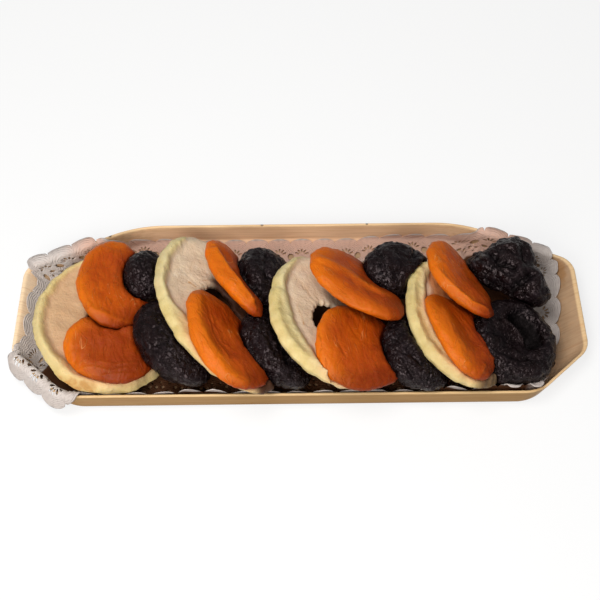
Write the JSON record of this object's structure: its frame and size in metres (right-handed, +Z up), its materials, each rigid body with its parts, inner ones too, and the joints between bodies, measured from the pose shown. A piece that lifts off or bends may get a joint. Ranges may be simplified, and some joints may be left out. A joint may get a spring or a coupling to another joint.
{
  "type": "wooden tray of dried fruit",
  "caption": "Shallow veneer tray with low walls, flared ends and cut corners, lined with a scalloped paper lace and filled with shingled dried apple rings, apricots and prunes.",
  "frame": {"origin": "middle of the tray's flat underside", "axes": "+X along the tray to the picture's right, +Z up, the front long wall faces -Y"},
  "size_m": [0.2528, 0.0976, 0.0359],
  "materials": {
    "veneer": "bare pale veneer, fine grain along the length",
    "paper_lace": "thin embossed white paper lace",
    "dried_apple": "matt cream flesh with a pale yellow rolled rim",
    "dried_apricot": "waxy orange, finely creased",
    "prune_skin": "near black, wrinkled, with soft highlights"
  },
  "bodies": {
    "tray_shell": {"tray": "veneer"},
    "filling": {"lace_liner": "paper_lace", "apple_ring_1": "dried_apple", "apple_ring_2": "dried_apple", "apple_ring_3": "dried_apple", "apple_ring_4": "dried_apple", "apricot_1": "dried_apricot", "apricot_2": "dried_apricot", "apricot_3": "dried_apricot", "apricot_4": "dried_apricot", "apricot_5": "dried_apricot", "apricot_6": "dried_apricot", "apricot_7": "dried_apricot", "apricot_8": "dried_apricot", "prune_1": "prune_skin", "prune_2": "prune_skin", "prune_3": "prune_skin", "prune_4": "prune_skin", "prune_5": "prune_skin", "prune_6": "prune_skin", "prune_7": "prune_skin", "prune_8": "prune_skin"}
  },
  "joints": [
    {"name": "filling_lift", "type": "slide", "parent": "tray_shell", "child": "filling", "axis": [0, 0, 1], "range_m": [0, 0.06]}
  ]
}
